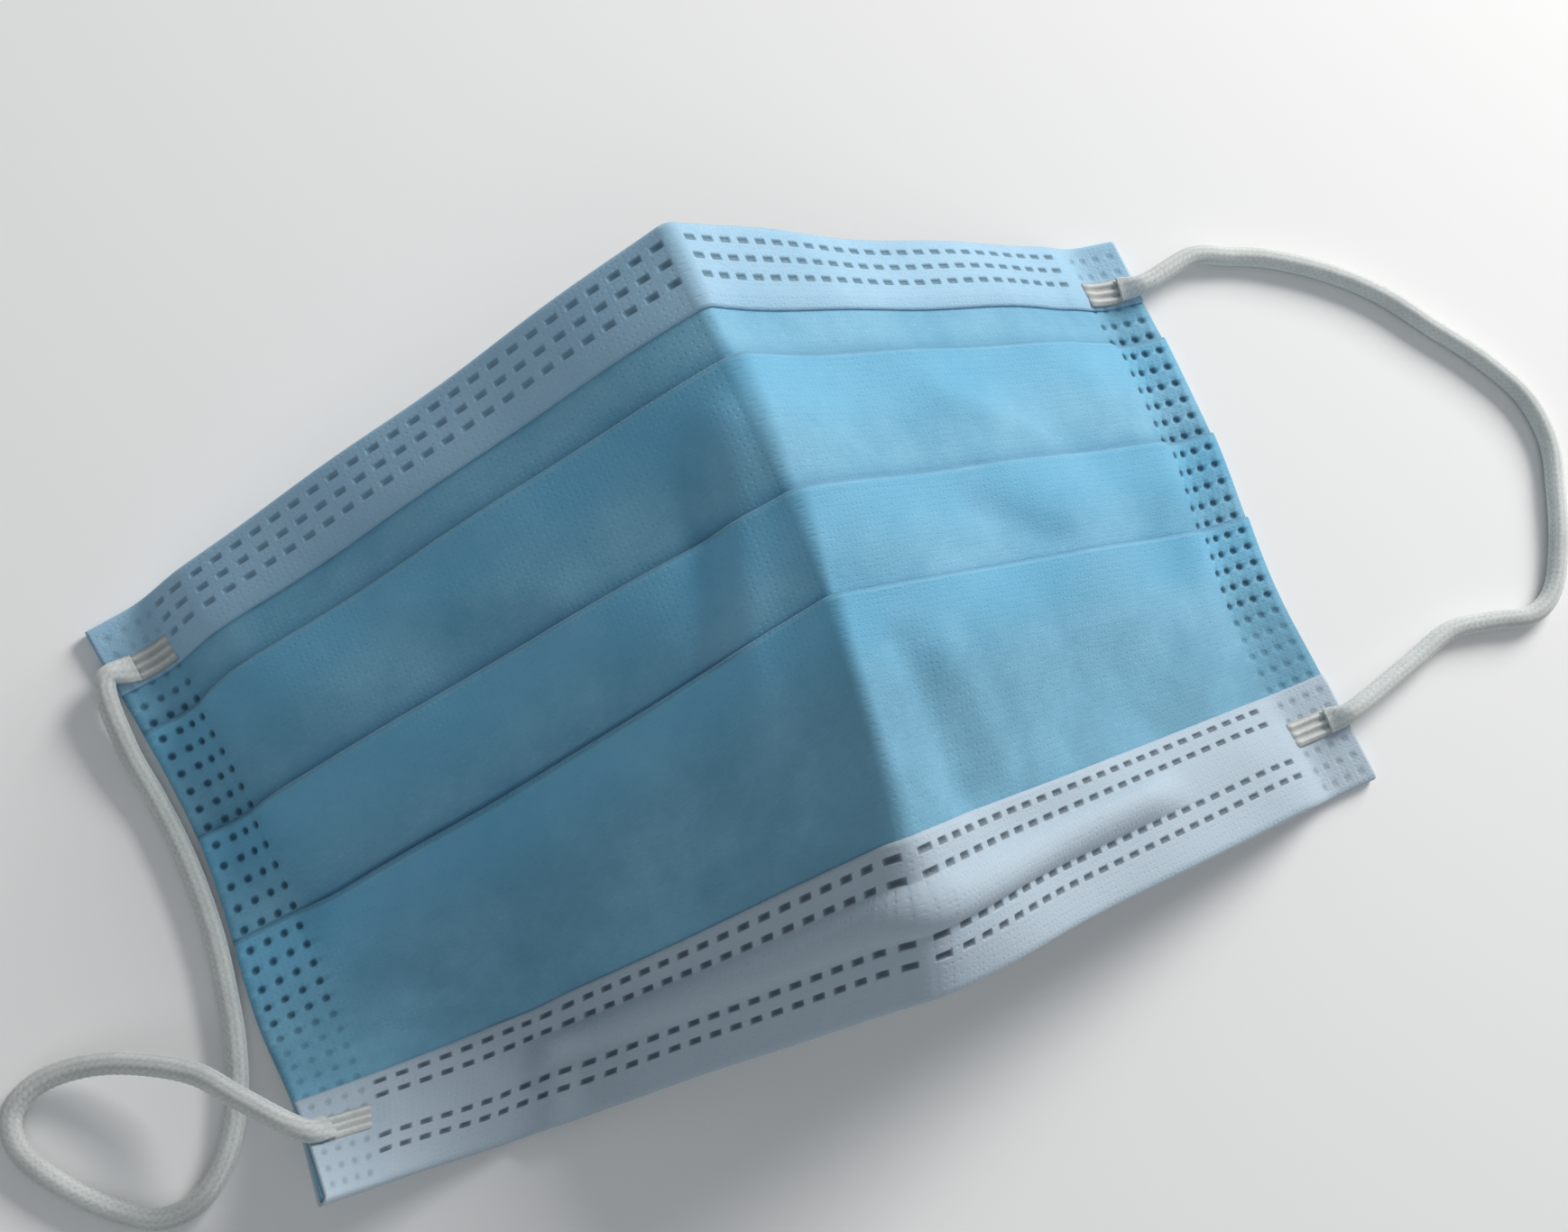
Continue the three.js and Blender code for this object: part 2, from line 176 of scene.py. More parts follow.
# soft folds left in the cloth: (u, w) of both ends, half width and height
SOFT_FOLDS = [
    ((85, 24), (75, 60), 3.2, 0.9),
    ((79, 28), (70, 56), 3.0, -0.8),
    ((62, 54), (67, 73), 2.2, 0.8),
    ((57, 56), (61, 72), 2.2, -0.6),
    ((97, 58), (101, 75), 2.6, -0.8),
    ((104, 60), (110, 74), 3.0, 0.6),
    ((40, 22), (58, 31), 3.0, 0.5),
    ((122, 24), (138, 31), 3.2, 0.5),
    ((118, 40), (132, 47), 3.0, -0.5),
]
# heights of the cloth's gentler waves, and the arcs round the curled nose corner
SLACK_WAVE = 0.6
CROSS_WAVE = 0.35
NOSE_EDGE_WAVE = 0.8
CORNER_ARCS = {"u": 12, "w": 92, "height": 0.75, "pitch": 1.9, "radius": 26, "spread": 8.0}


def soft_folds(us, w):
    """The lift of every soft fold at w, each a ridge or a valley along its own line."""
    lift = np.zeros_like(us)
    for (u0, w0), (u1, w1), width, height in SOFT_FOLDS:
        length_squared = (u1 - u0) ** 2 + (w1 - w0) ** 2
        t = np.clip(((us - u0) * (u1 - u0) + (w - w0) * (w1 - w0)) / length_squared, 0, 1)
        away = np.hypot(us - u0 - t * (u1 - u0), w - w0 - t * (w1 - w0))
        lift += height * np.exp(-((away / width) ** 2))
    return lift


def ripple(us, w):
    """Small lifts of the whole cloth: slack between the pleats, and soft wrinkles."""
    inside = smoothstep(np.minimum(us, WIDTH - us), 8, 22)
    slack = SLACK_WAVE * np.sin(us / 11.0 + 1.3 * math.sin(w / 9.0)) * math.sin(w / 13.0 + 0.6)
    slack += CROSS_WAVE * np.sin(us / 5.3 - w / 8.0 + 0.4)
    slack += NOSE_EDGE_WAVE * np.sin(us / 13.0 + 0.9) * float(smoothstep(w, 76, 92))
    reach = np.hypot(us - CORNER_ARCS["u"], (w - CORNER_ARCS["w"]) * 1.1)
    arcs = CORNER_ARCS["height"] * np.sin(reach / CORNER_ARCS["pitch"])
    arcs = arcs * np.exp(-((reach - CORNER_ARCS["radius"]) / CORNER_ARCS["spread"]) ** 2)
    return inside * slack + arcs * smoothstep(us, 6, 14) + soft_folds(us, w)


# half width of the crease's bend, over the pleats and what it gains towards the nose edge
TIGHT_BEND = 0.35
NOSE_BEND_GAIN = 2.6


def soft_underside(us, w):
    """The underside with its crease rounded: tight over the pleats, and opening into a soft bend
    at the stiffer nose edge."""
    bend = TIGHT_BEND + NOSE_BEND_GAIN * float(smoothstep(w, 64, 92))
    near = np.exp(-(((us - CREASE_U) / (4 * bend)) ** 4))[:, None]
    sharp = underside(us, w)
    spread = [underside(us + bend * step / 2, w) for step in (-3, -2, -1, 1, 2, 3)]
    rounded = (spread[0] + 2 * spread[1] + 3 * spread[2] + 4 * sharp
               + 3 * spread[3] + 2 * spread[4] + spread[5]) / 16
    return sharp * (1 - near) + rounded * near


def cloth(us, w, lifts):
    """Points at the given lifts above the soft underside, square to it."""
    reach = 0.4
    middle = np.clip(us, reach, WIDTH - reach)
    w0, w1 = max(w - 0.5, 0.0), min(w + 0.5, HEIGHT)
    along_w = soft_underside(middle, w1) - soft_underside(middle, w0)
    along_u = soft_underside(middle + reach, w) - soft_underside(middle - reach, w)
    up = unit(np.cross(along_w, along_u))
    return soft_underside(us, w) + up * (lifts + ripple(us, w))[:, None]


# ------------------------------------------------------------------------------------------------
# the weld patterns: rows of dashes along the hems and columns of dots down the sides
DASH_PITCH = 3.04
DASH_START = 9.98
DASH_COUNT = 50
DASH_HALF = (0.92, 0.44)
CHIN_ROWS = (2.3, 4.7, 7.1)
NOSE_ROWS = (78.6, 81.0, 87.7, 90.1)
DOT_COLUMNS = [1.75 + 2.36 * k for k in range(4)]
DOT_PITCH = 2.8
DOT_RADIUS = 0.6
DOT_MARGIN = 1.2
DASH_DEPTH = 0.32
DOT_DEPTH = 0.38

# the wire's middle line and ends, and the raised channel over it
CHANNEL_W = 84.4
CHANNEL_HALF = 2.9
CHANNEL_FLAT = 0.12
CHANNEL_RISE = 2.0
WIRE_FROM, WIRE_TO = 38.0, 134.0


def dash_dent(us, w, rows):
    """Depth of the weld dashes, 0 to 1, at w."""
    depth = np.zeros_like(us)
    across = min(abs(w - row) for row in rows) / DASH_HALF[1]
    index = np.round((us - DASH_START) / DASH_PITCH - 0.5)
    centre = DASH_START + DASH_PITCH * (index + 0.5)
    along = np.abs(us - centre) / DASH_HALF[0]
    inside = (index >= 0) & (index < DASH_COUNT)
    shape = np.clip(1 - along**4, 0, 1) * max(0.0, 1 - across**4)
    depth[inside] = np.sqrt(shape[inside])
    return depth


def dot_rows_between(start, end):
    """Rows of dots that fill the stretch between two folds, so that no fold cuts a dot."""
    count = round((end - start) / DOT_PITCH)
    return [start + (end - start) * (k + 0.5) / count for k in range(count)]


band_edges = [DOT_MARGIN] + PLEAT_FOLDS + [HEIGHT - DOT_MARGIN / 2]
dot_rows = [row for a, b in zip(band_edges, band_edges[1:]) for row in dot_rows_between(a, b)]


def dot_dent(us, w):
    """Depth of the side dots, 0 to 1: deep over the pleats, faint at the hems."""
    row = min(dot_rows, key=lambda place: abs(place - w))
    inset = np.minimum(us, WIDTH - us)
    depth = np.zeros_like(us)
    for place in DOT_COLUMNS:
        distance = np.hypot(inset - place, w - row) / DOT_RADIUS
        depth = np.maximum(depth, np.sqrt(np.clip(1 - distance**2, 0, 1)))
    strength = 0.35 + 0.65 * float(smoothstep(w, 11, 16)) * (1 - float(smoothstep(w, 61, 68)))
    return depth * strength


def lines(centres, offsets, low, high, step):
    """Grid lines from low to high: the offsets about each centre, and fillers no more than step
    apart."""
    closest = 0.06
    marks = [c + o for c in centres for o in offsets if low <= c + o <= high]
    marks = sorted(set([low, high] + [round(m, 4) for m in marks]))
    result = [marks[0]]
    for mark in marks[1:]:
        gap = mark - result[-1]
        if gap < closest:
            if mark == high:
                result[-1] = high
            continue
        for k in range(1, int(math.ceil(gap / step))):
            result.append(mark - gap + gap * k / math.ceil(gap / step))
        result.append(mark)
    return result


# grid lines about the middle of a dot, a dash, a row of dashes and the crease
DOT_OFFSETS = (-0.6, -0.46, -0.24, 0.0, 0.24, 0.46, 0.6)
DASH_OFFSETS = (-1.05, -0.93, -0.8, -0.5, 0.0, 0.5, 0.8, 0.93, 1.05)
ROW_OFFSETS = (-0.56, -0.44, -0.32, 0.0, 0.32, 0.44, 0.56)
CREASE_OFFSETS = (-1.6, -1.0, -0.75, -0.5, -0.25, 0.0, 0.25, 0.5, 0.75, 1.0, 1.6)

dot_centres = DOT_COLUMNS + [WIDTH - place for place in DOT_COLUMNS]
dash_centres = [DASH_START + DASH_PITCH * (k + 0.5) for k in range(DASH_COUNT)]
crease_lines = [CREASE_U + o for o in CREASE_OFFSETS]

PANEL_COLUMNS = np.round(lines(dot_centres, DOT_OFFSETS, 0.0, WIDTH, 1.8), 4)
PANEL_COLUMNS = np.array(sorted(set(PANEL_COLUMNS) | set(np.round(crease_lines, 4))))
hem_columns = sorted(
    set(lines(dot_centres, DOT_OFFSETS, 0.0, 10.6, 0.5))
    | set(lines(dash_centres, DASH_OFFSETS, 10.65, WIDTH - 11.2, 0.6))
    | set(lines(dot_centres, DOT_OFFSETS, WIDTH - 10.6, WIDTH, 0.5))
    | set(crease_lines)
)
HEM_COLUMNS = np.array([
    u for k, u in enumerate(hem_columns) if k == 0 or u - hem_columns[k - 1] > 0.04
])


def weld_fade(us):
    """0 over the pressed side strips, 1 over the rest of the width."""
    return smoothstep(np.minimum(us, WIDTH - us), 8.5, 13)


def overlap_and_valley_shade_at(w):
    """How far the cloth at w lies over hidden layers: 1 just past a fold, dying away over the
    pleat; and below 0 for painted shade in the tucked-in valley just before a fold."""
    for fold in PLEAT_FOLDS:
        if fold - 3.5 < w < fold:
            return -float(smoothstep(w, fold - 3.5, fold - 0.2))
        if fold <= w < fold + 14:
            return 1 - float(smoothstep(w, fold + 2.5, fold + 13))
    return 0.0


def sheet_mesh(name, columns, rows, materials):
    """A closed thin sheet. rows lists (outer w, inner w, outer lifts, inner lifts, weld mask), each
    of the last three an array over the columns. Outer faces take slot 0 and inner faces slot 1."""
    outer = np.array([cloth(columns, outer_w, lifts) for outer_w, _, lifts, _, _ in rows])
    inner = np.array([cloth(columns, inner_w, lifts) for _, inner_w, _, lifts, _ in rows])
    n, m = outer.shape[:2]
    points = np.concatenate([outer.reshape(-1, 3), inner.reshape(-1, 3)]) * MM
    idx = np.arange(n * m).reshape(n, m)
    quads = np.stack([idx[:-1, :-1], idx[:-1, 1:], idx[1:, 1:], idx[1:, :-1]], -1).reshape(-1, 4)
    top = quads[:, ::-1]
    low = quads + n * m
    ring = np.concatenate([idx[0, :], idx[1:, -1], idx[-1, -2::-1], idx[-2:0:-1, 0]])
    after = np.roll(ring, -1)
    wall = np.stack([ring, after, after + n * m, ring + n * m], -1)
    faces = np.concatenate([top, low, wall])
    mesh = bpy.data.meshes.new(name)
    mesh.from_pydata(points.tolist(), [], faces.tolist())
    slots = np.repeat([0, 1, 0], [len(top), len(low), len(wall)]).astype(np.int32)
    for material in materials:
        mesh.materials.append(material)
    mesh.polygons.foreach_set("material_index", slots)
    mesh.polygons.foreach_set("use_smooth", np.ones(len(faces), dtype=bool))
    weld_and_gap_shade = mesh.attributes.new("weld_and_gap_shade", "FLOAT", "POINT")
    mask = np.concatenate([np.array([r[4] for r in rows]).ravel(), np.zeros(n * m)])
    weld_and_gap_shade.data.foreach_set("value", mask.astype(np.float32))
    # this attribute: how far the cloth lies over hidden layers, and below 0 how deep the painted shade is
    # in the valleys just before the folds
    layers_and_valley_shade = mesh.attributes.new("layers_and_valley_shade", "FLOAT", "POINT")
    depth = np.repeat([overlap_and_valley_shade_at(r[0]) for r in rows], m)
    layers_and_valley_shade.data.foreach_set("value", np.concatenate([depth, 0 * depth]).astype(np.float32))
    place = mesh.attributes.new("cut", "FLOAT_VECTOR", "POINT")
    grid = np.array([[(u, r[0], 0) for u in columns] for r in rows]).reshape(-1, 3)
    place.data.foreach_set("vector", np.concatenate([grid, grid]).astype(np.float32).ravel())
    mesh.update()
    piece = bpy.data.objects.new(name, mesh)
    bpy.context.scene.collection.objects.link(piece)
    return piece


# ------------------------------------------------------------------------------------------------
# the camera, at the viewing angle the object is seen from
LENS = 51.83
CAMERA_PLACE = (-79.7, -41.4, 290.7)
CAMERA_TURN = {"azimuth": 61.88, "down": 71.11, "roll": 39.05}


def make_camera():
    az, down, roll = (math.radians(CAMERA_TURN[k]) for k in ("azimuth", "down", "roll"))
    look = Vector((math.sin(az) * math.cos(down), math.cos(az) * math.cos(down), -math.sin(down)))
    level = Vector((math.cos(az), -math.sin(az), 0))
    rise = level.cross(look)
    right = math.cos(roll) * level + math.sin(roll) * rise
    up = -math.sin(roll) * level + math.cos(roll) * rise
    camera = bpy.data.objects.new("camera", bpy.data.cameras.new("camera"))
    camera.data.lens = LENS
    camera.data.sensor_width = 36
    camera.data.clip_start = 0.01
    turn = Matrix((right, up, -look)).transposed().to_4x4()
    camera.matrix_world = Matrix.Translation(Vector(CAMERA_PLACE) * MM) @ turn
    bpy.context.scene.collection.objects.link(camera)
    bpy.context.scene.camera = camera


make_camera()


# ------------------------------------------------------------------------------------------------
# materials
class Nodes:
    """A short way to write a material's node tree."""

    def __init__(self, name):
        self.material = bpy.data.materials.new(name)
        self.material.use_nodes = True
        self.tree = self.material.node_tree
        self.shader = self.tree.nodes["Principled BSDF"]

    def add(self, kind, inputs=None, **settings):
        node = self.tree.nodes.new(kind)
        for key, value in settings.items():
            setattr(node, key, value)
        for key, value in (inputs or {}).items():
            self.put(node.inputs[key], value)
        return node

    def put(self, socket, value):
        if hasattr(value, "links"):
            self.tree.links.new(value, socket)
        else:
            socket.default_value = value

    def math(self, operation, a, b=0.0, clamp=False):
        node = self.add("ShaderNodeMath", {0: a, 1: b}, operation=operation)
        node.use_clamp = clamp
        return node.outputs[0]

    def mix(self, factor, a, b):
        node = self.add("ShaderNodeMix", data_type="RGBA")
        self.put(node.inputs["Factor"], factor)
        self.put(node.inputs["A"], a)
        self.put(node.inputs["B"], b)
        return node.outputs["Result"]

    def span(self, value, a, b, low=0.0, high=1.0):
        node = self.add("ShaderNodeMapRange", {"Value": value, "From Min": a, "From Max": b,
                                               "To Min": low, "To Max": high})
        return node.outputs[0]

    def noise(self, vector, scale, detail=2.0, roughness=0.5):
        node = self.add("ShaderNodeTexNoise", {"Vector": vector, "Scale": scale, "Detail": detail,
                                               "Roughness": roughness})
        return node.outputs["Fac"]


# the directions in which the fibres are laid, in degrees, and how far each is drawn out
FIBRES = [(38, (0.35, 2.6, 1)), (-52, (0.4, 2.4, 1))]
# the pale colour of the painted glints that fleck the cloth
GLINT_COLOUR = (0.7, 0.85, 0.95, 1)


def cloth_material(name, base, deep, weld_colour, weld_amount, dense=None, valley_shade=None, nose_shade=None,
                   mottle=0.5):
    """Spunbond non-woven: fine laid fibres, cloudy density, a point-bonded grain, pale flecks of
    painted glint, and dents that are pressed smooth and darker. dense is its colour over hidden
    layers; the two colours after it are painted shade: in the valleys just before the folds, and in
    darker, greyer patches towards the nose edge."""
    n = Nodes(name)
    dense, valley_shade, nose_shade = dense or base, valley_shade or base, nose_shade or base
    cut = n.add("ShaderNodeAttribute", attribute_name="cut").outputs["Vector"]
    weld_and_gap_shade = n.add("ShaderNodeAttribute", attribute_name="weld_and_gap_shade").outputs["Fac"]
    layers_and_valley_shade = n.add("ShaderNodeAttribute", attribute_name="layers_and_valley_shade").outputs["Fac"]
    clouds = n.noise(cut, 0.06, 4.0, 0.62)
    glint_noise = n.noise(cut, 1.1, 3.0, 0.6)
    laid = []
    for angle, drawn in FIBRES:
        turned = n.add("ShaderNodeMapping", {"Vector": cut, "Rotation": (0, 0, math.radians(angle)),
                                             "Scale": drawn}).outputs[0]
        laid.append(n.noise(turned, 1.6, 4.0, 0.7))
    fibres = n.math("MULTIPLY", n.math("ADD", *laid), 0.5)
    bonds = n.add("ShaderNodeTexVoronoi", {"Vector": cut, "Scale": 1.25, "Randomness": 0.25},
                  feature="F1").outputs["Distance"]
    bond = n.span(bonds, 0.12, 0.3)
    tone = n.math("ADD", n.span(clouds, 0.35, 0.68, -0.5, 0.5),
                  n.span(fibres, 0.36, 0.64, -0.3, 0.3))
    tone = n.math("ADD", n.math("MULTIPLY", tone, mottle), 0.5, clamp=True)
    colour = n.mix(tone, deep, base)
    # painted glints: pale flecks scattered over the cloth
    glint = n.span(glint_noise, 0.62, 0.74, 0.0, 0.12)
    colour = n.mix(glint, colour, GLINT_COLOUR)
    # painted shade: the cloth turns darker and greyer, in cloudy patches, towards the nose edge
    across = n.add("ShaderNodeSeparateXYZ", {"Vector": cut}).outputs["Y"]
    nose_shade_amount = n.math("MULTIPLY", n.span(across, 50.0, 76.0, 0.0, 0.7),
                  n.span(clouds, 0.38, 0.6, 1.0, 0.35))
    colour = n.mix(nose_shade_amount, colour, nose_shade)
    colour = n.mix(n.span(layers_and_valley_shade, 0.0, 1.0, 0.0, 0.5), colour, dense)
    # painted shade: a deep blue in the valleys just before the folds
    colour = n.mix(n.span(layers_and_valley_shade, -1.0, 0.0, 0.42, 0.0), colour, valley_shade)
    pressed = n.math("MULTIPLY", weld_and_gap_shade, weld_amount, clamp=True)
    colour = n.mix(pressed, colour, weld_colour)
    n.put(n.shader.inputs["Base Color"], colour)
    rough = n.span(fibres, 0.3, 0.7, 0.62, 0.84)
    n.put(n.shader.inputs["Roughness"], n.math("SUBTRACT", rough, n.math("MULTIPLY", weld_and_gap_shade, 0.3)))
    n.shader.inputs["Sheen Weight"].default_value = 0.25
    n.shader.inputs["Sheen Roughness"].default_value = 0.4
    n.shader.inputs["Specular IOR Level"].default_value = 0.35
    height = n.math("ADD", fibres, n.math("MULTIPLY", bond, 0.35))
    bump = n.add("ShaderNodeBump", {"Strength": 0.5, "Distance": 0.00022, "Height": height})
    n.put(n.shader.inputs["Normal"], bump.outputs[0])
    return n.material


def elastic_material(name, base, deep):
    """Knitted elastic: off-white yarn, with painted shade in the small gaps between the stitches."""
    n = Nodes(name)
    cut = n.add("ShaderNodeAttribute", attribute_name="cut").outputs["Vector"]
    gap = n.add("ShaderNodeAttribute", attribute_name="weld_and_gap_shade").outputs["Fac"]
    fuzz = n.noise(cut, 2.2, 4.0, 0.7)
    soil = n.noise(cut, 0.12, 3.0, 0.5)
    colour = n.mix(n.span(soil, 0.35, 0.65), base, deep)
    colour = n.mix(n.span(fuzz, 0.4, 0.7, 0.0, 0.4), colour, (0.42, 0.43, 0.41, 1))
    # painted shade in the gaps between the stitches and between a pad's ribs
    colour = n.mix(n.math("MULTIPLY", gap, 0.55), colour, (0.2, 0.2, 0.19, 1))
    n.put(n.shader.inputs["Base Color"], colour)
    n.put(n.shader.inputs["Roughness"], n.span(fuzz, 0.3, 0.7, 0.72, 0.92))
    n.shader.inputs["Sheen Weight"].default_value = 0.35
    n.shader.inputs["Specular IOR Level"].default_value = 0.3
    bump = n.add("ShaderNodeBump", {"Strength": 0.4, "Distance": 0.00015, "Height": fuzz})
    n.put(n.shader.inputs["Normal"], bump.outputs[0])
    return n.material


def wire_material():
    """White plastic with fine scratches."""
    n = Nodes("nose_wire_plastic")
    place = n.add("ShaderNodeTexCoord").outputs["Object"]
    scratches = n.noise(place, 900, 3.0, 0.6)
    n.put(n.shader.inputs["Base Color"],
          n.mix(scratches, (0.72, 0.75, 0.78, 1), (0.84, 0.86, 0.88, 1)))
    n.put(n.shader.inputs["Roughness"], n.span(scratches, 0.3, 0.7, 0.3, 0.5))
    return n.material


# the deep blue for the valleys before the folds and the greyer blue towards the nose edge are painted
# shade
BLUE = cloth_material("blue_spunbond", (0.25, 0.52, 0.70, 1), (0.11, 0.35, 0.53, 1),
                      (0.015, 0.08, 0.14, 1), 1.0, dense=(0.14, 0.47, 0.72, 1),
                      valley_shade=(0.06, 0.22, 0.36, 1), nose_shade=(0.15, 0.33, 0.45, 1), mottle=0.6)
CHIN_WHITE = cloth_material("thin_white_spunbond", (0.40, 0.63, 0.80, 1), (0.29, 0.50, 0.68, 1),
                            (0.05, 0.13, 0.19, 1), 0.85)
NOSE_WHITE = cloth_material("white_spunbond", (0.47, 0.57, 0.66, 1), (0.36, 0.45, 0.53, 1),
                            (0.05, 0.08, 0.11, 1), 0.95)
LINING = cloth_material("white_lining", (0.78, 0.81, 0.83, 1), (0.68, 0.72, 0.75, 1),
                        (0.5, 0.56, 0.6, 1), 0.5)
ELASTIC = elastic_material("knitted_elastic", (0.74, 0.78, 0.77, 1), (0.63, 0.66, 0.65, 1))


# ------------------------------------------------------------------------------------------------
# the pleated panel
# the rounded lip of a fold: how far it stands ahead of the fold in w, and its lift
FOLD_LIP = [
    (1.3, 0.02), (1.55, 0.16), (1.3, 0.34), (0.1, 0.42), (-0.38, 0.6),
    (-0.58, 0.95), (-0.48, 1.35), (-0.18, 1.62), (0.22, 1.71),
]
# the stretch of w that a lip takes the place of, before and after its fold
LIP_BEFORE, LIP_AFTER = 0.45, 0.55
EDGE_INSET = 0.6
# how much of a pleat's step is left over the pressed side strips
STEP_AT_SIDES = 0.45


def panel_rows():
    """The panel's rows from the chin edge to the nose edge, with a lip at each fold."""
    columns = PANEL_COLUMNS
    ones = np.ones_like(columns)
    keys = [EDGE_INSET]
    keys += [edge for fold in PLEAT_FOLDS for edge in (fold - LIP_BEFORE, fold + LIP_AFTER)]
    keys += [HEIGHT - EDGE_INSET]
    fade = STEP_AT_SIDES + (1 - STEP_AT_SIDES) * weld_fade(columns)
    base = PANEL[1]

    def lift_at(w):
        lift = 0.0
        for k, fold in enumerate(PLEAT_FOLDS):
            end = PLEAT_FOLDS[k + 1] if k + 1 < len(PLEAT_FOLDS) else LAST_PLEAT_END
            if fold <= w <= end:
                lift = PLEAT_STEP * (1 - (w - fold) / (end - fold)) ** 1.3
        return lift

    def row(outer_w, inner_w, lift, dented=True):
        mask = dot_dent(columns, outer_w) if dented else 0 * ones
        return (outer_w, inner_w, base + lift * fade - DOT_DEPTH * mask, PANEL[0] * ones, mask)

    rows = []
    for k in range(0, len(keys), 2):
        for w in lines(dot_rows, DOT_OFFSETS, keys[k], keys[k + 1], 0.9):
            rows.append(row(w, w, lift_at(w)))
        if k // 2 < len(PLEAT_FOLDS):
            fold = PLEAT_FOLDS[k // 2]
            for i, (ahead, lift) in enumerate(FOLD_LIP):
                inner = fold - 0.35 + 0.8 * i / (len(FOLD_LIP) - 1)
                rows.append(row(fold + ahead, inner, lift, dented=False))
    return rows


panel = sheet_mesh("blue_pleated_panel", PANEL_COLUMNS, panel_rows(), [BLUE, LINING])


# ------------------------------------------------------------------------------------------------
# the hems
def channel_rise(us, w):
    """The raised channel over the nose wire."""
    inward = np.minimum(us - WIRE_FROM, WIRE_TO - us)
    along = smoothstep(inward, -9, 3)
    across = max(0.0, 1 - abs((w - CHANNEL_W) / CHANNEL_HALF) ** 2.2)
    return (CHANNEL_FLAT + CHANNEL_RISE * along) * weld_fade(us) * across**0.9


# a hem's turn round the panel's edge: distance from the fold line and lift of its outer face, then
# of its inner face
HEM_TURN = [
    (0.35, 1.68, 0.62, 1.33), (0.08, 1.42, 0.45, 1.2), (0.0, 1.05, 0.38, 1.0),
    (0.0, 0.7, 0.38, 0.75), (0.08, 0.3, 0.45, 0.52), (0.35, 0.06, 0.62, 0.38),
]
CHIN_PUFF = 0.35
NOSE_PUFF = 0.55
# how much of the dashes' colour shows on the chin hem's left half
FAINT_DASH = 0.62


def hem_rows(width, welds, mirrored, puff):
    """A strip folded round the panel's edge, from its front free edge to its free edge inside."""
    columns = HEM_COLUMNS
    ones = np.ones_like(columns)
    places = [HEIGHT - w if mirrored else w for w in welds]
    high, under = FRONT_FLAP[1], FRONT_FLAP[0]

    def w_of(distance):
        return HEIGHT - distance if mirrored else distance

    rows = []
    front = lines(places, ROW_OFFSETS, 0.75, width, 0.55)[::-1]
    for distance in front:
        w = w_of(distance)
        dash = dash_dent(columns, w, welds)
        mask = np.maximum(dash, dot_dent(columns, w))
        soft = 1.0
        if not mirrored:
            soft = FAINT_DASH + (1 - FAINT_DASH) * smoothstep(columns, 70, 95)
        swell = puff * weld_fade(columns) * max(0.0, math.sin(math.pi * distance / width)) ** 0.8
        if mirrored:
            swell = swell + channel_rise(columns, w)
        # the free edge settles on the panel and thins out
        settle = max(0.0, 1 - (width - distance) / 1.6)
        rows.append((w, w, high - 0.26 * settle + swell - DASH_DEPTH * mask,
                     under - 0.1 * settle + swell - 0.1 * mask, soft * mask))
    for outer, lift, inner, low in HEM_TURN:
        rows.append((w_of(outer), w_of(inner), lift * ones, low * ones, 0 * ones))
    for distance in lines([], (), 0.9, width, 1.3):
        w = w_of(distance)
        rows.append((w, w, INNER_FLAP[0] * ones, INNER_FLAP[1] * ones, 0 * ones))
    return rows


chin_rows = hem_rows(CHIN_HEM, CHIN_ROWS, False, CHIN_PUFF)
nose_rows = hem_rows(NOSE_HEM, NOSE_ROWS, True, NOSE_PUFF)
chin_hem = sheet_mesh("chin_hem_cloth", HEM_COLUMNS, chin_rows, [CHIN_WHITE, LINING])
nose_hem = sheet_mesh("nose_hem_cloth", HEM_COLUMNS, nose_rows, [NOSE_WHITE, LINING])


def face_out(piece):
    """Turn a closed body's faces outwards."""
    work = bmesh.new()
    work.from_mesh(piece.data)
    bmesh.ops.recalc_face_normals(work, faces=work.faces[:])
    work.to_mesh(piece.data)
    work.free()


for piece in (panel, chin_hem, nose_hem):
    face_out(piece)


# ------------------------------------------------------------------------------------------------
# closed bodies swept along a line: the wire, the pads and the cords
def tube_mesh(name, rings, mask, cut, material):
    """A closed body through rings with as many points each, given in millimetres."""
    count, sides = rings.shape[:2]
    points = rings.reshape(-1, 3)
    faces = []
    for k in range(count - 1):
        for i in range(sides):
            j = (i + 1) % sides
            faces.append((k * sides + i, k * sides + j, (k + 1) * sides + j, (k + 1) * sides + i))
    faces.append(tuple(range(sides))[::-1])
    faces.append(tuple((count - 1) * sides + i for i in range(sides)))
    mesh = bpy.data.meshes.new(name)
    mesh.from_pydata((points * MM).tolist(), [], faces)
    mesh.materials.append(material)
    mesh.polygons.foreach_set("use_smooth", np.ones(len(faces), dtype=bool))
    # on the elastic this mask is the painted shade between its stitches and ribs
    mesh.attributes.new("weld_and_gap_shade", "FLOAT", "POINT").data.foreach_set(
        "value", mask.astype(np.float32).ravel())
    mesh.attributes.new("cut", "FLOAT_VECTOR", "POINT").data.foreach_set(
        "vector", cut.astype(np.float32).ravel())
    piece = bpy.data.objects.new(name, mesh)
    bpy.context.scene.collection.objects.link(piece)
    face_out(piece)
    return piece


def wire_piece():
    """The flat nose wire, lying in its channel."""
    us = np.linspace(WIRE_FROM, WIRE_TO, 97)
    half, low, high = 1.6, FRONT_FLAP[0] + 0.12, FRONT_FLAP[0] + 0.62
    outline = [(-half, low), (half, low), (half + 0.15, (low + high) / 2), (half, high),
               (0, high + 0.12), (-half, high), (-half - 0.15, (low + high) / 2)]
    rings = np.stack([cloth(us, CHANNEL_W + dw, lift + 0 * us) for dw, lift in outline], axis=1)
    mask = np.zeros(rings.shape[:2])
    return tube_mesh("nose_wire_strip", rings, mask, rings, wire_material())


wire = wire_piece()


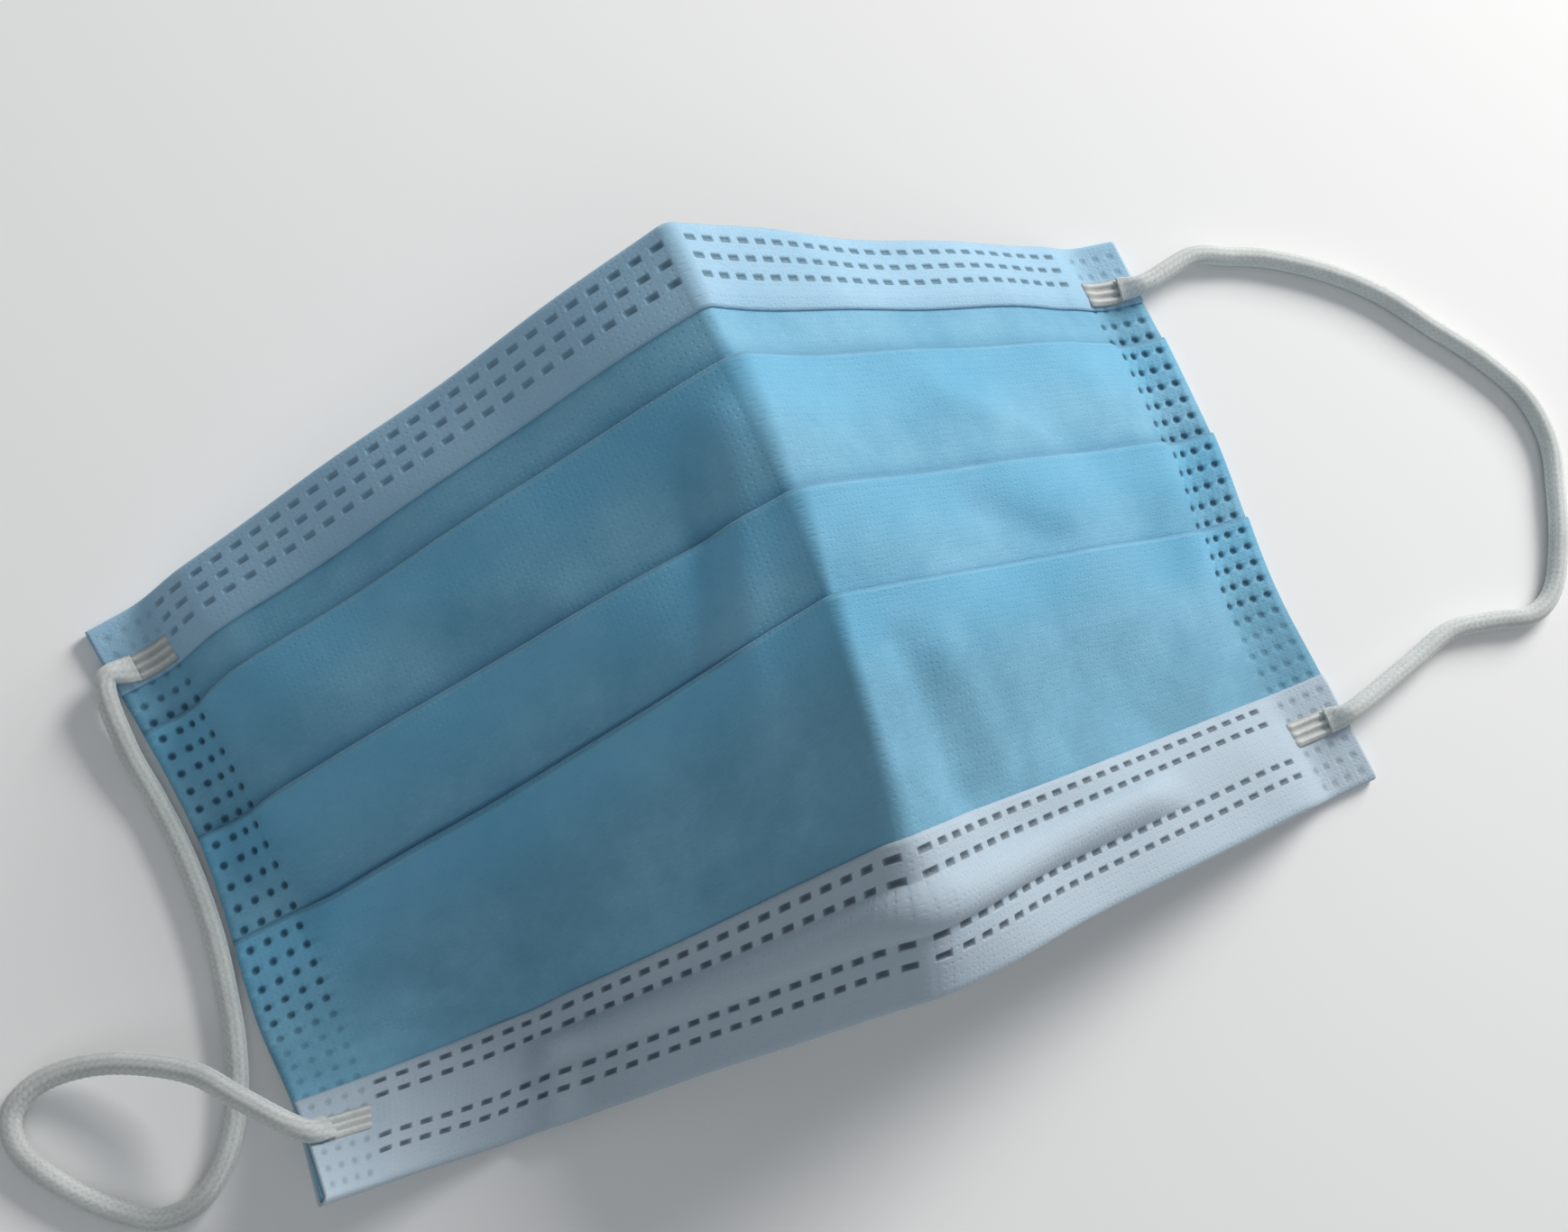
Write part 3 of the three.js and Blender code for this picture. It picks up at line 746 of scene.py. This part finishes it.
def pad_piece(name, side, w):
    """A pressed end of the elastic, with ribs along it, on the hem's front flap."""
    near, far = PAD["inset"], PAD["inset"] + PAD["length"]
    us = np.linspace(near, far, 25)
    if side == "right":
        us = WIDTH - us
    inset = np.minimum(us, WIDTH - us)
    ends = np.clip(np.minimum(inset - near, far - inset) / 0.7, 0.0, 1.0) ** 0.5
    low = FRONT_FLAP[1] - 0.1
    across = np.linspace(-1, 1, 31)
    rib = 0.5 + 0.5 * np.cos(across * PAD["ribs"] * math.pi)
    top = [(x, PAD["thick"] * (1 + r) / 2, r) for x, r in zip(across, rib)]
    outline = [(-1, 0.0, 0.0)] + top + [(1, 0.0, 0.0)]
    rings = []
    masks = []
    for x, height, r in outline:
        rings.append(cloth(us, w + x * PAD["width"] / 2, low + height * (0.35 + 0.65 * ends)))
        # painted shade in the grooves between the ribs
        masks.append((1 - r) * 0.9 * np.ones_like(us))
    rings = np.stack(rings, axis=1)
    return tube_mesh(name, rings, np.stack(masks, axis=1), rings, ELASTIC)


PADS = {
    "loop_end_chin_left": ("left", CHIN_PAD_W),
    "loop_end_nose_left": ("left", NOSE_PAD_W),
    "loop_end_chin_right": ("right", CHIN_PAD_W),
    "loop_end_nose_right": ("right", NOSE_PAD_W),
}
pads = {node: pad_piece(node + "_pressed", side, w) for node, (side, w) in PADS.items()}


def off_pad(side, w, distance, lift):
    """A point on the cord's way off its pad, straight on past the pad's outer end."""
    insets = np.array([PAD["inset"], PAD["inset"] + 1.0])
    us = insets if side == "left" else WIDTH - insets
    end, back = cloth(us, w, np.full(2, lift))
    return end + unit(end - back) * distance


def pad_normal(side, w):
    """The upward direction square to the cloth under a pad."""
    us = np.array([PAD["inset"] if side == "left" else WIDTH - PAD["inset"]])
    return unit(cloth(us, w, np.array([2.0])) - cloth(us, w, np.array([0.0])))[0]


def through(points, step):
    """A smooth line through the points, at equal steps of its length."""
    points = np.array(points, dtype=float)
    first = 2 * points[0] - points[1]
    last = 2 * points[-1] - points[-2]
    p = np.concatenate([[first], points, [last]])
    fine = []
    for k in range(1, len(p) - 2):
        t = np.linspace(0, 1, 40, endpoint=False)[:, None]
        a, b, c, d = p[k - 1], p[k], p[k + 1], p[k + 2]
        fine.append(0.5 * (2 * b + (c - a) * t + (2 * a - 5 * b + 4 * c - d) * t**2
                           + (3 * b - a - 3 * c + d) * t**3))
    fine = np.concatenate(fine + [[p[-2]]])
    run = np.concatenate([[0], np.cumsum(np.linalg.norm(np.diff(fine, axis=0), axis=1))])
    count = int(run[-1] / step)
    at = np.linspace(0, run[-1], count + 1)
    return np.stack([np.interp(at, run, fine[:, k]) for k in range(3)], axis=1), run[-1]


# the cord's knit: ribs round it, the length of a stitch, and how deep the yarn's relief is
CORD_RIBS = 9
STITCH = 0.95
KNIT_RELIEF = 0.045
CORD_SIDES = 28


def cord_piece(name, side, route):
    """Knitted elastic cord: rows of stitches wound round a tube, flattened into its two pads."""
    lift = FRONT_FLAP[1] + 0.75
    shift = np.array([BOX_CENTRE[0], BOX_CENTRE[1], 0.0])
    clear = PAD["inset"] + 1
    points = [off_pad(side, CHIN_PAD_W, -0.6, lift), off_pad(side, CHIN_PAD_W, clear, lift + 0.5)]
    points += [np.array(p) - shift for p in route]
    points += [off_pad(side, NOSE_PAD_W, clear, lift + 0.5), off_pad(side, NOSE_PAD_W, -0.6, lift)]
    line, length = through(points, 0.16)
    count = len(line)
    tangent = unit(np.gradient(line, axis=0))
    s = np.linspace(0, length, count)
    # the flattened ends lie square to the cloth under their pads, and the rest square to the table
    chin_up = pad_normal(side, CHIN_PAD_W) * (1 - smoothstep(s, 2, 9))[:, None]
    nose_up = pad_normal(side, NOSE_PAD_W) * (1 - smoothstep(length - s, 2, 9))[:, None]
    table_up = np.array([0.0, 0.0, 1.0]) * smoothstep(np.minimum(s, length - s), 2, 9)[:, None]
    level = chin_up + nose_up + table_up
    level = unit(level - tangent * (level * tangent).sum(axis=1, keepdims=True))
    up = np.zeros_like(line)
    up[0] = level[0]
    for k in range(1, count):
        carried = up[k - 1] - tangent[k] * (up[k - 1] @ tangent[k])
        up[k] = unit(0.9 * unit(carried) + 0.1 * level[k])
    across = np.cross(tangent, up)
    turn = np.arange(CORD_SIDES) / CORD_SIDES * 2 * math.pi
    ends = smoothstep(np.minimum(s, length - s), 0.0, 3.6)
    rib = np.cos(CORD_RIBS * turn)[None, :]
    offset = math.pi * (np.floor(turn * CORD_RIBS / math.pi) % 2)
    stitch = np.cos(2 * math.pi * s[:, None] / STITCH + offset[None, :])
    knit = 0.45 * rib + 0.55 * stitch * (0.6 + 0.4 * rib)
    radius = CORD_DIAMETER / 2 * (0.96 + KNIT_RELIEF * knit)
    tall = radius * (0.28 + 0.72 * ends[:, None])
    wide = radius * (1.3 - 0.3 * ends[:, None])
    rings = (line[:, None, :] + across[:, None, :] * (wide * np.cos(turn))[:, :, None]
             + up[:, None, :] * (tall * np.sin(turn))[:, :, None])
    # painted shade in the gaps between the stitches
    mask = np.clip(-knit, 0, 1)
    places = (s[:, None], 1.5 * np.cos(turn)[None, :], 1.5 * np.sin(turn)[None, :])
    cut = np.stack([np.broadcast_to(place, mask.shape) for place in places], axis=-1)
    return tube_mesh(name, rings, mask, cut, ELASTIC), line, length


cords = {
    "ear_loop_left": cord_piece("elastic_loop_left", "left", LEFT_ROUTE),
    "ear_loop_right": cord_piece("elastic_loop_right", "right", RIGHT_ROUTE),
}

# ------------------------------------------------------------------------------------------------
# floor and light
floor_mesh = bpy.data.meshes.new("floor")
FLOOR = 3.0
corners = [(-FLOOR, -FLOOR, 0), (FLOOR, -FLOOR, 0), (FLOOR, FLOOR, 0), (-FLOOR, FLOOR, 0)]
floor_mesh.from_pydata(corners, [], [(0, 1, 2, 3)])
floor = bpy.data.objects.new("floor", floor_mesh)
floor_material = bpy.data.materials.new("pale_floor")
floor_material.use_nodes = True
floor_shader = floor_material.node_tree.nodes["Principled BSDF"]
floor_shader.inputs["Base Color"].default_value = (0.93, 0.93, 0.93, 1)
floor_shader.inputs["Roughness"].default_value = 0.9
floor_mesh.materials.append(floor_material)
bpy.context.scene.collection.objects.link(floor)


def area_light(name, place, energy, size, colour):
    """A soft square lamp aimed at the origin."""
    lamp = bpy.data.lights.new(name, "AREA")
    lamp.energy = energy
    lamp.size = size
    lamp.color = colour
    light = bpy.data.objects.new(name, lamp)
    light.location = place
    light.rotation_euler = Vector(place).to_track_quat("Z", "Y").to_euler()
    bpy.context.scene.collection.objects.link(light)


area_light("key", (0.72, 0.34, 0.42), 8.2, 0.4, (1.0, 0.985, 0.96))
area_light("fill", (-0.4, -0.7, 1.5), 3, 1.2, (0.93, 0.97, 1.0))
world = bpy.data.worlds.new("studio")
world.use_nodes = True
world.node_tree.nodes["Background"].inputs["Color"].default_value = (0.93, 0.97, 1.0, 1)
world.node_tree.nodes["Background"].inputs["Strength"].default_value = 0.25
bpy.context.scene.world = world
bpy.context.scene.view_settings.view_transform = "Standard"

# ------------------------------------------------------------------------------------------------
# what each piece is
BODY = "root"
PIECES = [
    (panel, "pleated_panel", "blue_cloth"),
    (chin_hem, "chin_hem", "white_cloth"),
    (nose_hem, "nose_hem", "white_cloth"),
    (wire, "nose_wire", "nose_wire"),
]
PIECES += [(piece, node, "elastic") for node, piece in pads.items()]
PIECES += [(piece, node, "elastic") for node, (piece, _, _) in cords.items()]
for piece, node, slot in PIECES:
    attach(piece, BODY)
    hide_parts(node)
